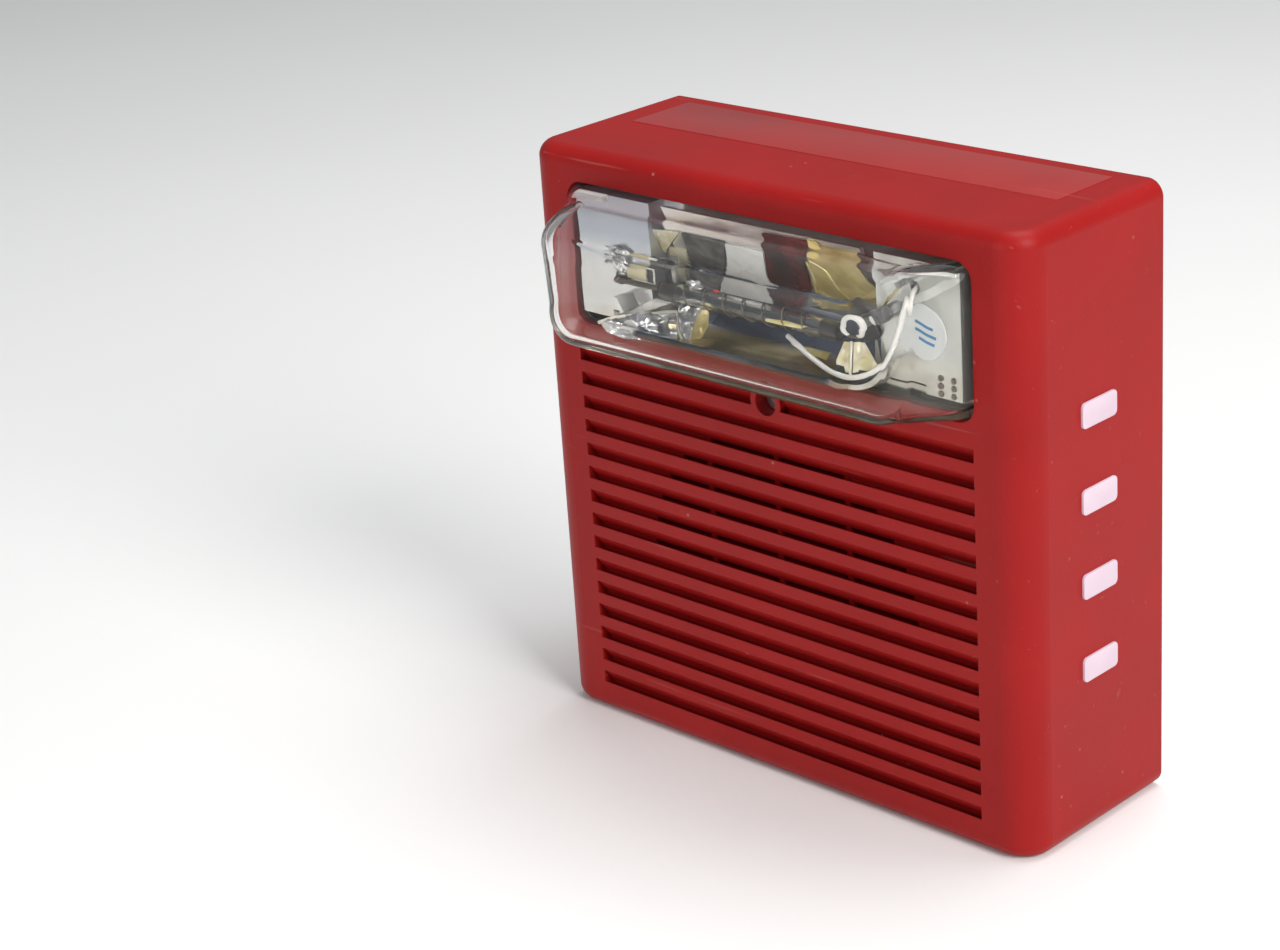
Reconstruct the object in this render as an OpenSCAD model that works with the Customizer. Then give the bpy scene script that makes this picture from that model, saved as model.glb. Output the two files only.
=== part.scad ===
// Wall horn strobe: a red moulded housing with a louvred sounder grille below
// and a clear strobe window above. Millimetres, +Z up, front towards -Y.
// The origin is the centre of the back, on the wall plane.

/* [Housing] */
// Width of the housing
body_w = 149; // [149:0.5:152]
// Height of the housing
body_h = 149; // [149:0.5:152]
// Depth of the housing from the wall to its front face
body_d = 51; // [51:0.5:53]
// Wall thickness of the housing
wall = 2.5; // [2.2:0.1:2.7]
// Radius of the two upright front edges
side_r = 8; // [7:0.5:8]
// Radius of the top and bottom front edges and of the four corners
rim_r = 4; // [3.5:0.5:4]

/* [Grille] */
// Number of louvre channels
louvre_count = 15; // [8:1:15]
// Distance from one channel to the next
louvre_pitch = 6.25; // [6:0.05:6.3]
// Height of one channel
channel_h = 3.1; // [2.6:0.1:3.2]
// Depth of one channel
channel_deep = 2.8; // [2:0.1:3]
// Radius of the arch that the through slots fill
arch_r = 41.5; // [36:0.5:41.5]

/* [Strobe] */
// Width of the window opening
window_w = 121.8; // [118:0.2:121.8]
// Height of the window opening
window_h = 36.8; // [34:0.2:36.8]
// Height of the window centre above the middle of the housing
window_z = 48.4; // [48:0.2:49]
// How far the lens stands out of the front face
lens_out = 19; // [17:0.5:20]
// Length of the glass flash tube
tube_len = 54; // [48:1:54]
// Outer diameter of the glass flash tube
tube_d = 4.4; // [3.6:0.2:4.6]

/* [Fixing] */
// Distance between the two device screws of a wall box
box_screw_gap = 83.3; // [83.3:0.1:83.5]
// Side of the square of holes for a square wall box
square_gap = 62.9; // [62.5:0.1:63.5]
// Diameter of a mounting hole
box_hole_d = 4.4; // [4.2:0.1:5]
// Diameter of the wire entry in the wall plate
entry_d = 38; // [30:1:38]
// Diameter of the cover screw shank
screw_d = 3.8; // [3.6:0.1:3.9]

/* [Wiring] */
// Number of wire terminals
terminal_count = 4; // [4:1:4]
// Distance from one terminal to the next
terminal_pitch = 9.5; // [9:0.1:9.6]
// Number of switch levers
lever_count = 4; // [4:1:4]

/* [Hidden] */
$fn = 64;
hull_fn = 32;
half_w = body_w / 2;
half_h = body_h / 2;
front_y = -body_d;
skin_y = front_y + wall;
window_r = 4.5;

// grille
louvre_w = 121;
louvre_top = 24.4;
grille_deep = 5.5;
grille_y = front_y + grille_deep;
channel_y = front_y + channel_deep;
arch_z = -26;
first_slot_row = 2;
last_slot_row = 7;
slot_h = 1.4;
floor_drop = 1.9;
channel_lead = 0.4;
rib_w = 1.6;
rib_x = 21.5;

// cover screw
screw_z = 22.5;
screw_hole_r = 3.1;
screw_boss_r = 4.6;
screw_floor_y = front_y + 7.5;
screw_boss_y = screw_floor_y + 2;
screw_end_y = -0.8;
screw_head_r = 2.9;
screw_head_h = 3;
ring_wire_r = 0.4;
insert_hole_r = screw_d / 2 + 0.08;
insert_r = 3.2;
insert_y = -9;
plate_boss_r = 5.4;

// lens and its seal
seal_t = 0.8;
flange_t = 2;
flange_lap = 1.8;
flange_w = window_w + 3 * flange_lap;
flange_h = window_h + 2 * flange_lap;
flange_y = skin_y + seal_t;
frame_y = flange_y + flange_t;
lens_gap = 0.4;
lens_wall = 2;
lens_front_y = front_y - lens_out;

// reflector
tube_y = -54;
tube_z = 46.3;
right_lead_x = 32;
left_lead_x = -42;
sleeve_r = 1.6;
frame_t = 1.5;
wing_y = front_y + 0.3;
wing_t = 1.2;
wing_in = 34;
wing_out = 57.5;
wing_low = 34.6;
wing_high = 63.8;
trough_r = 11.5;
trough_t = 1.2;
trough_half = 30;
ear_x = 68;
ear_z = [34, 60];
post_x = 61;
board_post_z = [30.8, 66];
strobe_board_y = -37;
board_t = 1.6;

// sounder
sounder_z = arch_z;
sounder_r = 43.2;
sounder_seal_r = 42;
sounder_flange_t = 2;
sounder_y = grille_y + 1;
driver_y = -33;
driver_r = 25;
sounder_ear = 33;

// boards and covers behind
main_board_y = -20;
main_board_w = 124;
main_board_low = -68;
main_board_high = 16;
main_post_x = 56;
main_post_z = [-62, 10];
cover_y = -7;
cover_t = 2;
cover_w = 2 * (half_w - wall) - 1;
corner_boss = 68.5;
corner_boss_y = -43.4;
seal_ring = 2.5;
plate_t = 3;
plate_w = cover_w - 1;
plate_y = -plate_t;

// terminals and switches
terminal_z = -52;
terminal_h = 12;
terminal_deep = 10.4;
terminal_w = terminal_count * terminal_pitch + 3;
terminal_y = main_board_y + board_t + terminal_deep;
thread_r = 1.5;
shank_r = 1.42;
switch_x = 38;
switch_z = -52;
switch_pitch = 2.54;
switch_w = lever_count * switch_pitch + 2;
switch_h = 9.6;
switch_deep = 6;
switch_y = main_board_y + board_t + switch_deep;
lever_travel = 2;
lever_w = 1.4;

// white trigger lead, from the tube round to its hole in the right wing
lead_r = 0.7;
lead_sides = 8;
lead_steps = 4;
lead_route = [[12, -54.8, 42.6], [16, -56, 41.5], [22, -57.5, 39.6], [28, -58.6, 38.2],
    [34, -58.8, 38.2], [39.5, -58, 40.6], [43, -56.8, 45], [44.6, -55.4, 50],
    [45, -53.8, 54], [44.8, -52, 57], [44.6, -49.4, 58.4]];

// ---- shared shapes ----

// A cylinder along Y, from y0 to y1, at x and z
module rod_y(r, y0, y1, x = 0, z = 0) {
    translate([x, y0, z]) rotate([-90, 0, 0]) cylinder(r = r, h = y1 - y0);
}

// A cylinder along X, from x0 to x1, at y and z
module rod_x(r, x0, x1, y, z) {
    translate([x0, y, z]) rotate([0, 90, 0]) cylinder(r = r, h = x1 - x0);
}

// A plate in the XZ plane with rounded corners, from y0 to y1
module slab(w, h, r, y0, y1, z = 0) {
    translate([0, y1, z]) rotate([90, 0, 0]) linear_extrude(y1 - y0) rounded_outline(w, h, r);
}

// A rectangle with round corners, made of two rectangles and four circles
module rounded_outline(w, h, r) {
    square([w - 2 * r, h], center = true);
    square([w, h - 2 * r], center = true);
    for (sx = [-1, 1], sz = [-1, 1]) translate([sx * (w / 2 - r), sz * (h / 2 - r)]) circle(r);
}

// A deep box open to no side: upright front edges of radius big, the rest of radius small
module soft_box(w, h, y0, y1, big, small) {
    hw = w / 2;
    hh = h / 2;
    step = big - small;
    translate([-hw + big, y0, -hh + small]) cube([w - 2 * big, y1 - y0, h - 2 * small]);
    translate([-hw + big, y0 + small, -hh]) cube([w - 2 * big, y1 - y0 - small, h]);
    translate([-hw + small, y0 + big, -hh]) cube([w - 2 * small, y1 - y0 - big, h]);
    translate([-hw, y0 + big, -hh + small]) cube([w, y1 - y0 - big, h - 2 * small]);
    for (sx = [-1, 1]) {
        translate([sx * (hw - big), y0 + big, -hh + small]) cylinder(r = big, h = h - 2 * small);
        for (sz = [-1, 1]) {
            rod_y(small, y0 + big, y1, sx * (hw - small), sz * (hh - small));
            translate([sx * (hw - big), y0 + big, sz * (hh - small)]) rotate_extrude() corner_profile(step, small);
        }
    }
    for (sz = [-1, 1]) rod_x(small, -hw + big, hw - big, y0 + small, sz * (hh - small));
}

// Half section of a corner: a bar out to step with a round end of radius r
module corner_profile(step, r) {
    intersection() {
        union() {
            translate([0, -r]) square([step, 2 * r]);
            translate([step, 0]) circle(r);
        }
        translate([0, -r]) square([step + r, 2 * r]);
    }
}

// ---- housing ----

// Z of the top edge of a louvre channel
function channel_top(i) = louvre_top - i * louvre_pitch;

// Half width of the arch at a given height
function arch_half(z) = sqrt(max(0, arch_r * arch_r - (z - arch_z) * (z - arch_z)));

// Section of a channel: an overhanging back wall that leans in from the top edge, and a floor that drops away
module channel_section() {
    polygon([[-1, -channel_h], [0, -channel_h], [channel_deep, -channel_h - floor_drop],
        [channel_deep, -channel_h - floor_drop + slot_h], [channel_lead, 0], [-1, 0]]);
}

module louvre_channels() {
    for (i = [0 : louvre_count - 1]) {
        difference() {
            translate([-louvre_w / 2, front_y, channel_top(i)]) rotate([90, 0, 90]) linear_extrude(louvre_w) channel_section();
            if (i == 0) rod_y(screw_boss_r, front_y - 2, channel_y + 1, 0, screw_z);
        }
    }
}

module through_slots() {
    for (i = [first_slot_row : last_slot_row]) {
        low = channel_top(i) - channel_h - floor_drop;
        half = arch_half(channel_top(i) - channel_h);
        difference() {
            translate([-half, channel_y - 0.5, low]) cube([2 * half, grille_deep, slot_h]);
            for (x = [-rib_x, 0, rib_x]) translate([x - rib_w / 2, channel_y - 2, low - 1]) cube([rib_w, 2 * grille_deep, slot_h + 2]);
        }
    }
}

module housing_bosses() {
    rod_y(screw_boss_r, front_y + 1, screw_boss_y, 0, screw_z);
    for (sx = [-1, 1]) {
        for (z = ear_z) rod_y(3.2, skin_y - 0.5, frame_y, sx * ear_x, z);
        for (z = main_post_z) rod_y(3.4, skin_y - 0.5, main_board_y, sx * main_post_x, z);
        for (sz = [-1, 1]) {
            rod_y(2.6, skin_y - 0.5, sounder_y + sounder_flange_t, sx * sounder_ear, sounder_z + sz * sounder_ear);
            rod_y(3.4, corner_boss_y, cover_y, sx * corner_boss, sz * corner_boss);
            translate([sx * (half_w - 3.5) - 2.5, corner_boss_y, sz * corner_boss - 1.5]) cube([5, cover_y - corner_boss_y, 3]);
        }
    }
}

module front_housing() {
    color("#b5201f") difference() {
        union() {
            difference() {
                soft_box(body_w, body_h, front_y, 0, side_r, rim_r);
                soft_box(body_w - 2 * wall, body_h - 2 * wall, skin_y, 1, side_r - wall, rim_r - wall);
            }
            translate([-64, skin_y - 0.5, -half_h + 1]) cube([128, grille_deep - wall + 0.5, half_h + 25.8]);
            housing_bosses();
        }
        slab(window_w, window_h, window_r, front_y - 1, skin_y + 1, window_z);
        louvre_channels();
        through_slots();
        rod_y(screw_hole_r, front_y - 1, screw_floor_y, 0, screw_z);
        rod_y(screw_d / 2 + 0.1, front_y, screw_boss_y + 1, 0, screw_z);
        for (sx = [-1, 1]) {
            for (z = ear_z) rod_y(1.2, skin_y + 0.6, frame_y + 1, sx * ear_x, z);
            for (z = main_post_z) rod_y(1.2, main_board_y - 8, main_board_y + 1, sx * main_post_x, z);
            for (sz = [-1, 1]) {
                rod_y(1, grille_y - 2, sounder_y + 4, sx * sounder_ear, sounder_z + sz * sounder_ear);
                rod_y(1.4, cover_y - 9, cover_y + 1, sx * corner_boss, sz * corner_boss);
            }
        }
    }
}

// ---- strobe window ----

module lens_form(grow, back_y) {
    w = window_w - 2 * lens_gap + 2 * grow;
    h = window_h - 2 * lens_gap + 2 * grow;
    hull() {
        slab(w, h, window_r + grow - lens_gap, front_y - 1, back_y, window_z);
        for (sx = [-1, 1]) {
            translate([sx * 49, lens_front_y + 5, window_z - 10]) sphere(r = 5 + grow, $fn = hull_fn);
            translate([sx * 49, lens_front_y + 7, window_z + 12.1]) sphere(r = 5 + grow, $fn = hull_fn);
        }
    }
}

module lens_cover() {
    color("#dfe6ea", 0.35) difference() {
        union() {
            lens_form(0, frame_y);
            slab(flange_w, flange_h, window_r + 1, flange_y, frame_y, window_z);
        }
        lens_form(-lens_wall, frame_y + 1);
    }
}

module lens_seal() {
    color("#1c1c1e") difference() {
        slab(flange_w, flange_h, window_r + 1, skin_y, flange_y, window_z);
        slab(window_w + 0.2, window_h + 0.2, window_r, skin_y - 1, flange_y + 1, window_z);
    }
}

// Section of the trough: from behind the tube, under it and out to a front lip
module trough_section(r, t) {
    difference() {
        circle(r + t);
        circle(r);
        translate([-2 * r, 0]) square([4 * r, 2 * r]);
        rotate(-42) translate([-3 * r, -2 * r]) square([3 * r, 2 * r]);
    }
}

// Places a YZ section along X from x0 to x1, with the tube axis as its origin
module along_x(x0, x1) {
    translate([x0, tube_y, tube_z]) rotate([90, 0, 90]) linear_extrude(x1 - x0) children();
}

module reflector_roof() {
    roof_back = tube_y + trough_r;
    run = wing_y - roof_back;
    along_x(-trough_half, trough_half) polygon([[trough_r, -1], [trough_r + trough_t, -1],
        [trough_r + trough_t + run, wing_high - tube_z], [trough_r + run, wing_high - tube_z]]);
}

module scoop(side) {
    intersection() {
        translate([side * trough_half, tube_y, tube_z]) difference() {
            sphere(r = trough_r + trough_t);
            sphere(r = trough_r);
        }
        translate([side > 0 ? trough_half : -trough_half - 3 * trough_r, tube_y - 2, tube_z - 3 * trough_r]) cube([3 * trough_r, 3 * trough_r, 3 * trough_r - 4]);
    }
}

module reflector() {
    color("#d9dcdc") difference() {
        union() {
            difference() {
                slab(flange_w, flange_h, window_r, frame_y, frame_y + frame_t, window_z);
                translate([-trough_half - 0.5, frame_y - 1, wing_low + 1]) cube([2 * trough_half + 1, frame_t + 2, wing_high - wing_low - 10.6]);
            }
            for (sx = [-1, 1]) {
                for (z = ear_z) rod_y(3, frame_y, frame_y + frame_t, sx * ear_x, z);
                for (z = ear_z) translate([sx > 0 ? ear_x - 6 : -ear_x, frame_y, z - 3]) cube([6, frame_t, 6]);
                for (z = board_post_z) rod_y(2.6, frame_y, strobe_board_y, sx * post_x, z);
                wing_box(sx);
                scoop(sx);
            }
            along_x(-trough_half, trough_half) trough_section(trough_r, trough_t);
            reflector_roof();
        }
        for (sx = [-1, 1]) {
            for (z = ear_z) rod_y(1.5, frame_y - 1, frame_y + frame_t + 1, sx * ear_x, z);
            for (z = board_post_z) rod_y(1, strobe_board_y - 6, strobe_board_y + 1, sx * post_x, z);
        }
        for (x = [left_lead_x, right_lead_x]) rod_y(sleeve_r + 0.1, wing_y - 1, frame_y + frame_t + 1, x, tube_z);
        rod_y(lead_r + 0.8, wing_y - 1, frame_y + frame_t + 1, 44.6, 58.4);
    }
}

// One flat wing of the reflector, a shallow tray with its open side to the back
module wing_box(side) {
    x0 = side > 0 ? wing_in : -wing_out;
    wide = wing_out - wing_in;
    difference() {
        translate([x0, wing_y, wing_low]) cube([wide, frame_y - wing_y + 0.5, wing_high - wing_low]);
        translate([x0 + wing_t, wing_y + wing_t, wing_low + wing_t]) cube([wide - 2 * wing_t, frame_y - wing_y - wing_t, wing_high - wing_low - 2 * wing_t]);
        translate([side > 0 ? x0 - 1 : x0 + 10, wing_y - 1, wing_low - 1]) cube([wide - 9, wing_t + 1, 3.2]);
    }
}

module flash_tube() {
    color("#cfd4cc", 0.5) difference() {
        rod_x(tube_d / 2, -tube_len / 2, tube_len / 2, tube_y, tube_z);
        rod_x(tube_d / 2 - 0.7, -tube_len / 2 - 1, tube_len / 2 + 1, tube_y, tube_z);
    }
}

module tube_leads() {
    plug_r = tube_d / 2 - 0.7;
    end_x = tube_len / 2;
    color("#6d6a62") {
        rod_x(plug_r, -end_x, -end_x + 5, tube_y, tube_z);
        rod_x(plug_r, end_x - 5, end_x, tube_y, tube_z);
        rod_x(0.5, left_lead_x, -end_x + 1, tube_y, tube_z);
        rod_x(0.5, end_x - 1, right_lead_x, tube_y, tube_z);
        translate([left_lead_x, tube_y, tube_z]) sphere(0.9);
        translate([right_lead_x, tube_y, tube_z]) sphere(0.5);
        for (x = [left_lead_x, right_lead_x]) rod_y(0.5, tube_y, strobe_board_y - 0.2, x, tube_z);
    }
}

module tube_sleeves() {
    color("#26262a") for (x = [left_lead_x, right_lead_x]) difference() {
        rod_y(sleeve_r, tube_y + 1, frame_y + 4, x, tube_z);
        rod_y(0.52, tube_y, frame_y + 5, x, tube_z);
    }
}

module trigger_winding() {
    wire = 0.5;
    low_r = tube_d / 2;
    color("#4a443c") {
        for (x = [-21 : 6 : 21]) translate([x - wire / 2, tube_y, tube_z]) rotate([0, 90, 0]) difference() {
            cylinder(r = low_r + wire, h = wire);
            translate([0, 0, -wire]) cylinder(r = low_r, h = 3 * wire);
        }
        translate([-21, tube_y - wire / 2, tube_z - low_r - wire]) cube([42, wire, wire - 0.03]);
    }
}

// Catmull-Rom point between b and c
function blend_point(a, b, c, d, t) = 0.5 * ((2 * b) + (c - a) * t + (2 * a - 5 * b + 4 * c - d) * t * t
    + (3 * b - a - 3 * c + d) * t * t * t);
lead_last = len(lead_route) - 1;
lead_points = [for (i = [0 : lead_last - 1], s = [0 : lead_steps - 1])
    blend_point(lead_route[max(i - 1, 0)], lead_route[i], lead_route[i + 1], lead_route[min(i + 2, lead_last)], s / lead_steps),
    lead_route[lead_last]];
function unit(v) = v / norm(v);
function lead_way(i) = unit(lead_points[min(i + 1, len(lead_points) - 1)] - lead_points[max(i - 1, 0)]);
function lead_across(i) = unit(cross(lead_way(i), [0, 1, 0.02]));
function lead_ring(i) = [for (k = [0 : lead_sides - 1])
    lead_points[i] + lead_r * (cos(360 * k / lead_sides) * lead_across(i)
    + sin(360 * k / lead_sides) * cross(lead_across(i), lead_way(i)))];

module trigger_lead() {
    rings = len(lead_points);
    points = [for (i = [0 : rings - 1]) each lead_ring(i)];
    walls = [for (i = [0 : rings - 2], k = [0 : lead_sides - 1])
        [i * lead_sides + k, i * lead_sides + (k + 1) % lead_sides,
        (i + 1) * lead_sides + (k + 1) % lead_sides, (i + 1) * lead_sides + k]];
    start_cap = [for (k = [0 : lead_sides - 1]) lead_sides - 1 - k];
    end_cap = [for (k = [0 : lead_sides - 1]) (rings - 1) * lead_sides + k];
    color("#ecebe4") polyhedron(points, [each walls, start_cap, end_cap], convexity = 8);
}

module tube_lug() {
    color("#b9bbb6") {
        translate([-46, wing_y - 0.5, 48.4]) cube([6, 0.5, 5]);
        rod_y(1.4, wing_y - 2.2, wing_y, -43, 50.9);
    }
}

module rating_label() {
    color("#e9ecec") rod_y(6, wing_y - 0.15, wing_y, 46.5, 47.6);
}

module strobe_board() {
    color("#2f6b3f") difference() {
        slab(128, 40, 2, strobe_board_y, strobe_board_y + board_t, window_z);
        for (sx = [-1, 1], z = board_post_z) rod_y(1.4, strobe_board_y - 1, strobe_board_y + board_t + 1, sx * post_x, z);
    }
}

module flash_capacitor() {
    color("#2b2b33") {
        rod_x(8, -26, 12, strobe_board_y + board_t + 8, 55);
        rod_x(7.2, 12, 13, strobe_board_y + board_t + 8, 55);
    }
}

module trigger_coil() {
    color("#c9b458") {
        rod_y(4.5, strobe_board_y + board_t, strobe_board_y + board_t + 12, 30, 58);
        rod_y(5.5, strobe_board_y + board_t, strobe_board_y + board_t + 1.5, 30, 58);
    }
}

module inverter_choke() {
    color("#8a4b22") {
        rod_y(7, strobe_board_y + board_t, strobe_board_y + board_t + 1.6, 48, 46);
        rod_y(4.6, strobe_board_y + board_t + 1.6, strobe_board_y + board_t + 8.4, 48, 46);
        rod_y(7, strobe_board_y + board_t + 8.4, strobe_board_y + board_t + 10, 48, 46);
    }
}

module switching_transistor() {
    y0 = strobe_board_y + board_t;
    color("#242426") translate([-48, y0 + 1, 40]) cube([10, 4.5, 9]);
    color("#b6b8ba") translate([-48, y0 + 1, 49]) cube([10, 1.3, 6.5]);
    color("#b6b8ba") for (i = [0 : 2]) translate([-45.9 + i * 2.54, y0, 37]) cube([0.8, 2, 3.2]);
}

// A pan-head screw along Y, head towards +Y, its head seat at y
module pan_screw(x, y, z, r, head_r, long, head_h) {
    difference() {
        union() {
            rod_y(r, y - long, y, x, z);
            rod_y(head_r, y, y + head_h, x, z);
        }
        translate([x - head_r, y + head_h - 0.6, z - 0.35]) cube([2 * head_r, 1, 0.7]);
        translate([x - 0.35, y + head_h - 0.6, z - head_r]) cube([0.7, 1, 2 * head_r]);
    }
}

module reflector_screws() {
    color("#a7a9ab") for (sx = [-1, 1], z = ear_z) pan_screw(sx * ear_x, frame_y + frame_t, z, 1.18, 2.6, 3.6, 1.6);
}

module strobe_board_screws() {
    color("#a7a9ab") for (sx = [-1, 1], z = board_post_z) pan_screw(sx * post_x, strobe_board_y + board_t, z, 0.98, 2.4, 6.4, 1.6);
}

// ---- sounder ----

module sounder_seal() {
    color("#202022") difference() {
        rod_y(sounder_r, grille_y, sounder_y, 0, sounder_z);
        rod_y(sounder_seal_r, grille_y - 1, sounder_y + 1, 0, sounder_z);
    }
}

module sounder_horn() {
    color("#2a2a2c") difference() {
        union() {
            rod_y(sounder_r, sounder_y, sounder_y + sounder_flange_t, 0, sounder_z);
            for (sx = [-1, 1], sz = [-1, 1]) rod_y(4, sounder_y + sounder_flange_t, sounder_y + 2 * sounder_flange_t, sx * sounder_ear, sounder_z + sz * sounder_ear);
            for (a = [45 : 90 : 315]) translate([0, sounder_y + sounder_flange_t, sounder_z]) rotate([0, a, 0]) translate([sounder_r - 6, 0, -4]) cube([8.6, sounder_flange_t, 8]);
            translate([0, sounder_y + 1, sounder_z]) rotate([-90, 0, 0]) cylinder(r1 = sounder_seal_r, r2 = driver_r + 2.5, h = driver_y - sounder_y);
            rod_y(driver_r + 2.5, driver_y, driver_y + 3, 0, sounder_z);
        }
        translate([0, sounder_y - 0.01, sounder_z]) rotate([-90, 0, 0]) cylinder(r1 = sounder_seal_r - 2.5, r2 = driver_r - 2.5, h = driver_y - sounder_y - 1);
        rod_y(driver_r - 2.5, driver_y - 2, driver_y + 4, 0, sounder_z);
        rod_y(driver_r, driver_y, driver_y + 4, 0, sounder_z);
        for (sx = [-1, 1], sz = [-1, 1]) rod_y(1.3, sounder_y - 1, sounder_y + 9, sx * sounder_ear, sounder_z + sz * sounder_ear);
    }
}

module diaphragm() {
    color("#c8b48a") rod_y(driver_r - 0.1, driver_y, driver_y + 0.3, 0, sounder_z);
}

module piezo_disc() {
    color("#e7e0d0") {
        rod_y(16, driver_y + 0.3, driver_y + 0.6, 0, sounder_z);
        rod_y(12, driver_y + 0.6, driver_y + 0.85, 0, sounder_z);
    }
}

module sounder_back() {
    color("#2a2a2c") difference() {
        union() {
            rod_y(driver_r - 0.1, driver_y + 0.3, driver_y + 2.6, 0, sounder_z);
            rod_y(driver_r - 3, driver_y + 2.6, driver_y + 8, 0, sounder_z);
        }
        rod_y(driver_r - 5, driver_y, driver_y + 6.5, 0, sounder_z);
        for (sx = [-1, 1]) rod_y(0.7, driver_y + 5, driver_y + 9, sx * 6, sounder_z);
    }
}

module sounder_screws() {
    seat = sounder_y + 2 * sounder_flange_t;
    color("#a7a9ab") for (sx = [-1, 1], sz = [-1, 1]) pan_screw(sx * sounder_ear, seat, sounder_z + sz * sounder_ear, 0.98, 2.6, 5.4, 1.6);
}

module sounder_pins() {
    color("#c9a24a") for (sx = [-1, 1]) rod_y(0.45, driver_y + 0.9, main_board_y, sx * 6, sounder_z);
}

// ---- boards ----

module main_board() {
    high = main_board_high - main_board_low;
    color("#2f6b3f") difference() {
        slab(main_board_w, high, 2, main_board_y, main_board_y + board_t, main_board_low + high / 2);
        for (sx = [-1, 1], z = main_post_z) rod_y(1.5, main_board_y - 1, main_board_y + board_t + 1, sx * main_post_x, z);
    }
}

module main_board_screws() {
    color("#a7a9ab") for (sx = [-1, 1], z = main_post_z) pan_screw(sx * main_post_x, main_board_y + board_t, z, 1.18, 2.8, 8, 1.8);
}

module controller_chip() {
    y0 = main_board_y + board_t;
    color("#1d1d20") translate([-9, y0 + 0.3, -24]) cube([18, 2.4, 7.6]);
    color("#b9bbbd") for (i = [0 : 6], s = [-1, 1]) translate([-8 + i * 2.54, y0, s > 0 ? -16.6 : -25.2]) cube([0.7, 1.2, 1.4]);
}

module board_capacitors() {
    y0 = main_board_y + board_t;
    color("#31406b") {
        rod_y(5, y0, y0 + 9.5, -38, -8);
        rod_y(5, y0, y0 + 9.5, -24, -8);
        rod_y(4, y0, y0 + 8, 34, -6);
    }
}

module small_parts() {
    y0 = main_board_y + board_t;
    color("#c7b48c") for (i = [0 : 4]) rod_x(1.15, 16, 22.4, y0 + 1.2, -14 - i * 5);
    color("#26262a") for (i = [0 : 3]) rod_x(1.35, -46 + i * 9, -40 + i * 9, y0 + 1.4, -32);
    color("#b98b3f") for (i = [0 : 3]) translate([-16 + i * 9, y0, 2]) cube([3.2, 1.6, 1.8]);
}

module board_ribbon() {
    y0 = strobe_board_y + board_t;
    y1 = main_board_y + board_t;
    color("#d8d3c4") translate([-42, 0, 0]) rotate([90, 0, 90]) linear_extrude(14) polygon([
        [y0, 31], [y0 + 1, 31], [y0 + 1.6, 28], [y0 + 6, 26], [y1 - 1, 21], [y1 + 3, 20.4], [y1 + 4, 19],
        [y1 + 4, 10], [y1, 10], [y1, 11], [y1 + 3, 11], [y1 + 3, 18.6], [y1 + 2.4, 19.4], [y1 - 1.6, 20],
        [y0 + 5.4, 25], [y0 + 0.8, 27.2], [y0, 30]]);
}

// ---- terminals and switches ----

function terminal_x(i) = (i - (terminal_count - 1) / 2) * terminal_pitch;

module terminal_block() {
    y0 = main_board_y + board_t;
    color("#1f2a24") difference() {
        translate([-terminal_w / 2, y0, terminal_z - terminal_h / 2]) cube([terminal_w, terminal_deep, terminal_h]);
        for (i = [0 : terminal_count - 1]) {
            rod_y(thread_r, y0 + 2, terminal_y + 1, terminal_x(i), terminal_z + 1);
            translate([terminal_x(i) - 3.6, terminal_y - 2.6, terminal_z - terminal_h / 2 - 1]) cube([7.2, 3.6, terminal_h - 0.4]);
        }
    }
}

module terminal_screw(i) {
    color("#c3a24e") pan_screw(terminal_x(i), terminal_y - 2.5, terminal_z + 1, shank_r, 3.1, 5.5, 2);
}
module terminal_screw_1() { terminal_screw(0); }
module terminal_screw_2() { terminal_screw(1); }
module terminal_screw_3() { terminal_screw(2); }
module terminal_screw_4() { terminal_screw(3); }

function lever_x(i) = switch_x + (i - (lever_count - 1) / 2) * switch_pitch;

module switch_body() {
    y0 = main_board_y + board_t;
    slot = lever_travel + lever_w + 0.3;
    color("#a32020") difference() {
        translate([switch_x - switch_w / 2, y0, switch_z - switch_h / 2]) cube([switch_w, switch_deep, switch_h]);
        for (i = [0 : lever_count - 1]) translate([lever_x(i) - lever_w / 2 - 0.12, switch_y - 1.6, switch_z - slot / 2]) cube([lever_w + 0.24, 2.6, slot]);
    }
}

module switch_lever(i) {
    color("#f0efe8") translate([lever_x(i) - lever_w / 2, switch_y - 1.5, switch_z - lever_travel / 2 - lever_w / 2]) cube([lever_w, 2.6, lever_w]);
}
module switch_lever_1() { switch_lever(0); }
module switch_lever_2() { switch_lever(1); }
module switch_lever_3() { switch_lever(2); }
module switch_lever_4() { switch_lever(3); }

// ---- back ----

module back_cover() {
    color("#26262a") difference() {
        slab(cover_w, cover_w, 2, cover_y, cover_y + cover_t);
        translate([-terminal_w / 2 - 1.5, cover_y - 1, terminal_z - terminal_h / 2 - 3]) cube([terminal_w + 3, cover_t + 2, terminal_h + 4.5]);
        translate([switch_x - switch_w / 2 - 1.5, cover_y - 1, switch_z - switch_h / 2 - 1.5]) cube([switch_w + 3, cover_t + 2, switch_h + 3]);
        rod_y(plate_boss_r + 0.6, cover_y - 1, cover_y + cover_t + 1, 0, screw_z);
        for (sx = [-1, 1], sz = [-1, 1]) rod_y(1.7, cover_y - 1, cover_y + cover_t + 1, sx * corner_boss, sz * corner_boss);
    }
}

module back_cover_screws() {
    color("#a7a9ab") for (sx = [-1, 1], sz = [-1, 1]) pan_screw(sx * corner_boss, cover_y + cover_t, sz * corner_boss, 1.38, 2.7, 8.5, 1.5);
}

module cover_screw() {
    head_y = screw_floor_y - 2 * ring_wire_r - screw_head_h;
    color("#9a9c9e") difference() {
        union() {
            rod_y(screw_head_r, head_y, head_y + screw_head_h, 0, screw_z);
            rod_y(screw_d / 2, head_y + screw_head_h, screw_end_y, 0, screw_z);
        }
        translate([0, head_y - 1, screw_z]) rotate([-90, 0, 0]) cylinder(r = 1.6, h = 2.8, $fn = 6);
    }
}

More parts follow.
